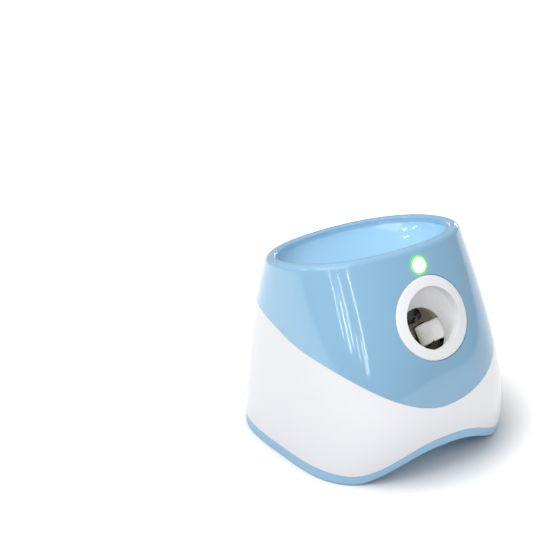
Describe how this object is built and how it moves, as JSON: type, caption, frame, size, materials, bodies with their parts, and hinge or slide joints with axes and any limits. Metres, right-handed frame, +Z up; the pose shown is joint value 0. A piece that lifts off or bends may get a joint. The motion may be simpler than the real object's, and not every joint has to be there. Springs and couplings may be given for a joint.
{
  "type": "automatic dog ball launcher",
  "caption": "Tilted hopper on a rounded two-colour housing; balls drop to a trough where a geared pusher feeds them between flywheels and out of a round port.",
  "frame": {"origin": "middle of the overall box in plan, on the floor plane the feet stand on", "axes": "+Z up, the port faces -Y, +X to the right of someone facing the port"},
  "size_m": [0.251, 0.2541, 0.2396],
  "materials": {
    "white_housing": "gloss",
    "blue_housing": "gloss",
    "blue_tray": "satin gloss",
    "white_port": "satin gloss",
    "chassis_grey": "satin",
    "chute_dark": "satin",
    "wheel_hub": "satin",
    "wheel_tyre": "matte",
    "steel": "brushed",
    "motor_can": "zinc",
    "felt": "felt",
    "acetal": "satin",
    "sensor_black": "satin",
    "button_white": "lit from behind",
    "light_ring": "lit green",
    "circuit_board": "solder mask",
    "battery_tub": "matte",
    "cell_wrap": "printed film, plain",
    "spring_steel": "nickel",
    "inlet_black": "satin gloss",
    "foot_rubber": "matte"
  },
  "bodies": {
    "housing": {"base_tray": "blue_tray", "lower_housing": "white_housing", "upper_housing": "blue_housing", "hopper_funnel": "blue_housing", "port_bezel": "white_port", "launch_chassis": "chassis_grey", "drop_chute": "chute_dark", "launch_motor_right": "motor_can", "launch_motor_left": "motor_can", "motor_screws": "steel", "feed_gearmotor": "sensor_black", "ball_sensor_right": "sensor_black", "ball_sensor_left": "sensor_black", "button_light_ring": "light_ring", "button_board": "circuit_board", "button_switch": "sensor_black", "battery_box": "battery_tub", "battery_cells": "cell_wrap", "battery_contacts": "spring_steel", "main_board": "circuit_board", "board_screws": "steel", "dc_inlet": "inlet_black", "rubber_feet": "foot_rubber", "tray_screws": "steel", "chassis_screws": "steel", "housing_screws": "steel", "bezel_screws": "steel"},
    "flywheel_right": {"flywheel_hub_right": "wheel_hub", "flywheel_tyre_right": "wheel_tyre", "motor_shaft_right": "steel"},
    "flywheel_left": {"flywheel_hub_left": "wheel_hub", "flywheel_tyre_left": "wheel_tyre", "motor_shaft_left": "steel"},
    "pusher": {"feed_pusher": "acetal"},
    "pinion": {"feed_pinion": "acetal"},
    "ball": {"tennis_ball": "felt"},
    "button": {"power_button": "button_white"},
    "door": {"battery_door": "blue_tray"}
  },
  "joints": [
    {"name": "flywheel_right_spin", "type": "hinge", "parent": "housing", "child": "flywheel_right", "pos_m": [0.053, -0.05028, 0.1252], "axis": [0, 0.6547, 0.7559], "continuous": true},
    {"name": "flywheel_left_spin", "type": "hinge", "parent": "housing", "child": "flywheel_left", "pos_m": [-0.053, -0.05028, 0.1252], "axis": [0, 0.6547, 0.7559], "continuous": true},
    {"name": "feed_slide", "type": "slide", "parent": "housing", "child": "pusher", "axis": [0, -0.7559, 0.6547], "range_m": [0, 0.013]},
    {"name": "feed_pinion_spin", "type": "hinge", "parent": "housing", "child": "pinion", "pos_m": [0, -0.02777, 0.05344], "axis": [1, 0, 0], "range_deg": [0, 107]},
    {"name": "ball_feed", "type": "slide", "parent": "housing", "child": "ball", "axis": [0, -0.7559, 0.6547], "range_m": [0, 0.013]},
    {"name": "power_button_press", "type": "slide", "parent": "housing", "child": "button", "axis": [0, 0.8878, -0.4602], "range_m": [0, 0.0012], "stiffness_N_per_m": 900, "springref_m": -0.0006},
    {"name": "battery_door_hinge", "type": "hinge", "parent": "housing", "child": "door", "pos_m": [0, 0.0997, 0.0041], "axis": [1, 0, 0], "range_deg": [0, 95]}
  ],
  "couplings": [
    {"joint": "flywheel_left_spin", "follows": "flywheel_right_spin", "ratio": -1},
    {"joint": "feed_pinion_spin", "follows": "feed_slide", "rad_per_m": 142.86},
    {"joint": "ball_feed", "follows": "feed_slide", "ratio": 1}
  ]
}
